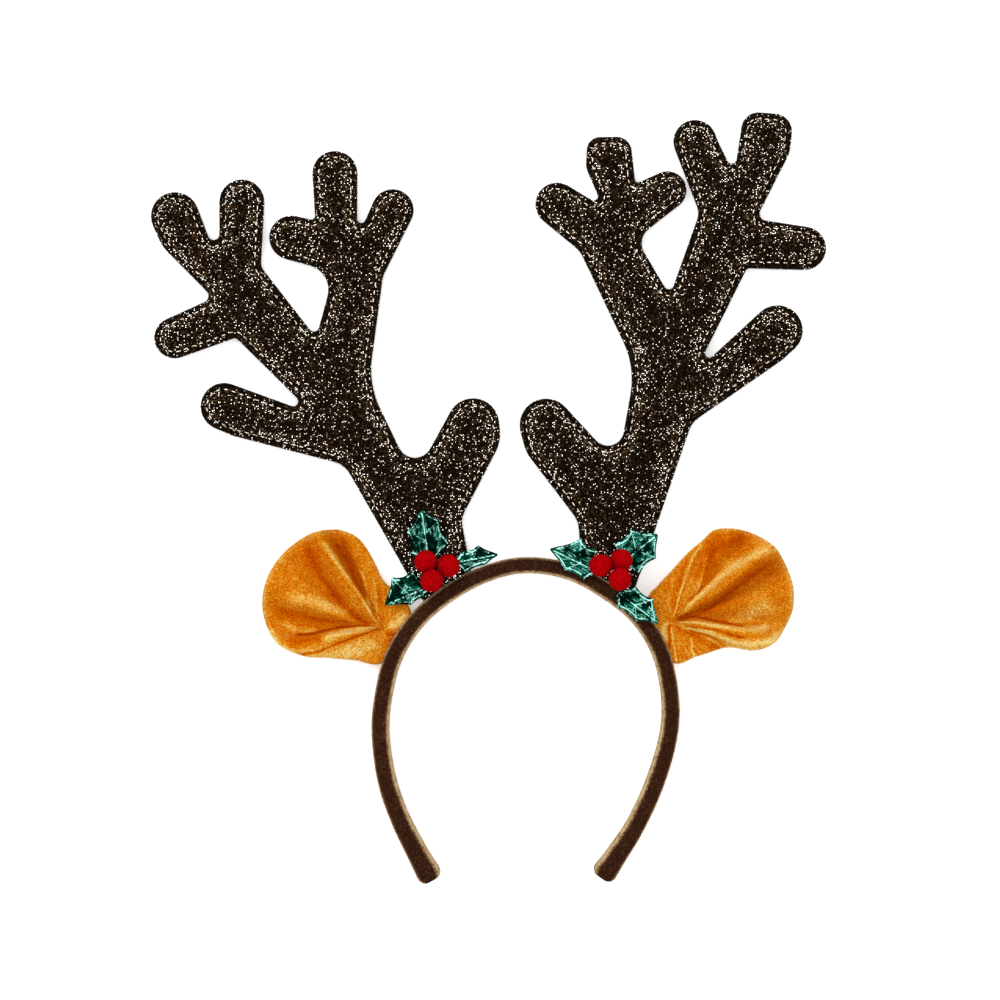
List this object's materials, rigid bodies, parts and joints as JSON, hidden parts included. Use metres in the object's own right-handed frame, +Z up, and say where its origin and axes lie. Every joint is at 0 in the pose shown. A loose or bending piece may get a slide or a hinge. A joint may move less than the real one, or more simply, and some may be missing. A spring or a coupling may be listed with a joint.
{
  "type": "reindeer antler headband",
  "caption": "U-shaped padded headband with padded branching antlers, pleated ears, and holly leaves with berries at the antlers' feet.",
  "frame": {"origin": "middle of the band's crown, on its underside, with the headband lying on its back on a table", "axes": "+Y from the crown towards the antlers' tips, +Z up off the table, out of the headband's front, +X towards the right antler as seen from the front"},
  "size_m": [0.3108, 0.3546, 0.0272],
  "materials": {
    "brown_velvet": "dark brown velvet with a lighter nap along its edges",
    "glitter_cloth": "black-brown cloth woven with gold glitter thread, padded and topstitched",
    "orange_velvet": "orange-gold velvet",
    "green_foil": "metallic green foil, puffed and embossed",
    "red_felt": "matt red felt"
  },
  "bodies": {
    "root": {"band": "brown_velvet", "antler_left": "glitter_cloth", "antler_right": "glitter_cloth", "ear_left": "orange_velvet", "ear_right": "orange_velvet", "leaf_left_1": "green_foil", "leaf_left_2": "green_foil", "leaf_left_3": "green_foil", "leaf_right_1": "green_foil", "leaf_right_2": "green_foil", "leaf_right_3": "green_foil", "berry_left_1": "red_felt", "berry_left_2": "red_felt", "berry_left_3": "red_felt", "berry_right_1": "red_felt", "berry_right_2": "red_felt", "berry_right_3": "red_felt"}
  },
  "joints": []
}
